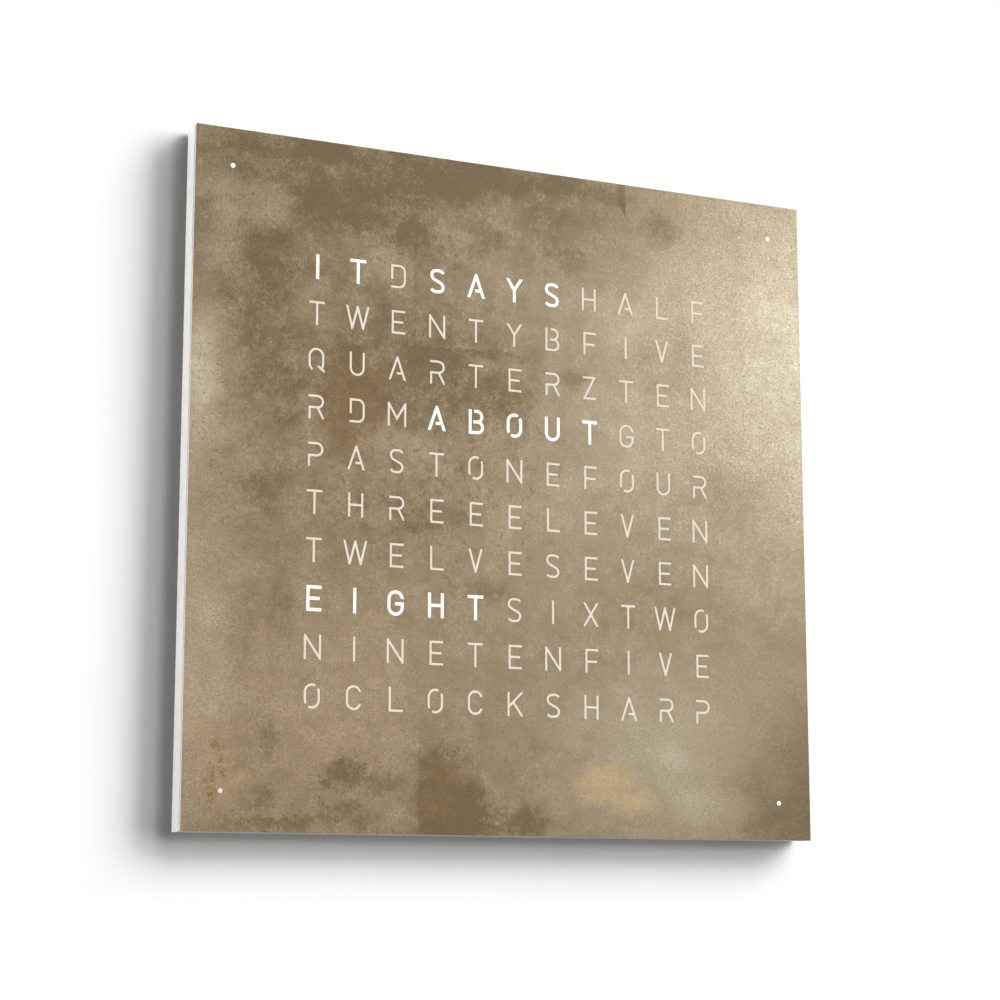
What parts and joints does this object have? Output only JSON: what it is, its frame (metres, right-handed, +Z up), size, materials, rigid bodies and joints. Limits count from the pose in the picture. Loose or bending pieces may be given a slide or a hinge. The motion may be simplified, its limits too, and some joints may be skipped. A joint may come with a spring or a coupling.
{
  "type": "word clock",
  "caption": "Square wall-hung word clock: a grid of stencil-cut letters lit from behind in a patinated metal front, on a slim white casing that lifts off a wall bracket.",
  "frame": {"origin": "midway between the two wall screws, on the wall plane (the back face of the wall bracket)", "axes": "+Z up, -Y out of the wall towards the viewer, +X to the viewer's right"},
  "size_m": [0.45, 0.02, 0.4503],
  "materials": {
    "patinated_brass": "thin brass sheet with a cloudy champagne and olive-brown patina, satin",
    "opal_acrylic": "opal light-diffusing acrylic",
    "white_lacquer": "fibreboard in matt white lacquer",
    "white_board": "thin fibreboard, white melamine face",
    "beech": "compressed beech",
    "zinc_steel": "zinc-plated sheet steel",
    "rivet_aluminium": "plain aluminium",
    "bumper_rubber": "soft dark rubber",
    "baffle_plastic": "matt white moulded plastic",
    "foam_tape": "double-sided foam tape",
    "connector_plastic": "ivory connector plastic",
    "circuit_board_white": "glass-epoxy board with white solder mask",
    "circuit_board_green": "glass-epoxy board with green solder mask",
    "led_package": "white package with a phosphor well",
    "chip_plastic": "black moulded plastic",
    "nickel": "bright nickel plating",
    "capacitor_can": "drawn aluminium can",
    "brass_standoff": "turned brass",
    "wire_sleeve": "grey wire insulation",
    "button_plastic": "matt white moulded plastic",
    "clear_acrylic": "clear polished rod"
  },
  "bodies": {
    "wall_bracket": {"wall_bracket": "zinc_steel"},
    "casing": {"casing_rail_bottom": "white_lacquer", "casing_rail_left": "white_lacquer", "casing_rail_top": "white_lacquer", "casing_rail_right": "white_lacquer", "mitre_biscuits": "beech", "back_panel": "white_board", "back_panel_screws": "zinc_steel", "hanger_plate": "zinc_steel", "hanger_rivets": "rivet_aluminium", "wall_bumpers": "bumper_rubber", "light_baffle": "baffle_plastic", "light_board_1": "circuit_board_white", "light_board_2": "circuit_board_white", "light_board_3": "circuit_board_white", "light_board_4": "circuit_board_white", "light_board_5": "circuit_board_white", "board_leds_1": "led_package", "board_leds_2": "led_package", "board_leds_3": "led_package", "board_leds_4": "led_package", "board_leds_5": "led_package", "board_tapes": "foam_tape", "board_links": "connector_plastic", "corner_boards": "circuit_board_white", "corner_leds": "led_package", "corner_light_tubes": "baffle_plastic", "magnet_posts": "baffle_plastic", "casing_magnets": "nickel", "locator_sockets": "baffle_plastic", "control_board": "circuit_board_green", "board_standoffs": "brass_standoff", "board_screws": "zinc_steel", "processor_chip": "chip_plastic", "driver_chips": "chip_plastic", "clock_crystal": "nickel", "capacitors": "capacitor_can", "cell_holder": "chip_plastic", "backup_cell": "nickel", "wire_plugs": "connector_plastic", "led_wires": "wire_sleeve", "corner_leads": "wire_sleeve", "switch_bodies": "chip_plastic", "power_socket": "chip_plastic", "power_socket_pin": "nickel", "light_pipe": "clear_acrylic", "light_sensor": "chip_plastic"},
    "front_cover": {"front_plate": "patinated_brass", "diffuser_sheet": "opal_acrylic", "cover_keepers": "zinc_steel", "cover_pins": "zinc_steel"},
    "hours_button": {"button_hours": "button_plastic", "plunger_hours": "chip_plastic"},
    "minutes_button": {"button_minutes": "button_plastic", "plunger_minutes": "chip_plastic"},
    "brightness_button": {"button_brightness": "button_plastic", "plunger_brightness": "chip_plastic"}
  },
  "joints": [
    {"name": "hang_lift", "type": "slide", "parent": "wall_bracket", "child": "casing", "axis": [0, 0, 1], "range_m": [0, 0.012]},
    {"name": "front_pull", "type": "slide", "parent": "casing", "child": "front_cover", "axis": [0, -1, 0], "range_m": [0, 0.04]},
    {"name": "hours_press", "type": "slide", "parent": "casing", "child": "hours_button", "axis": [0, 0, 1], "range_m": [0, 0.0008], "stiffness_N_per_m": 900},
    {"name": "minutes_press", "type": "slide", "parent": "casing", "child": "minutes_button", "axis": [0, 0, 1], "range_m": [0, 0.0008], "stiffness_N_per_m": 900},
    {"name": "brightness_press", "type": "slide", "parent": "casing", "child": "brightness_button", "axis": [0, 0, 1], "range_m": [0, 0.0008], "stiffness_N_per_m": 900}
  ]
}
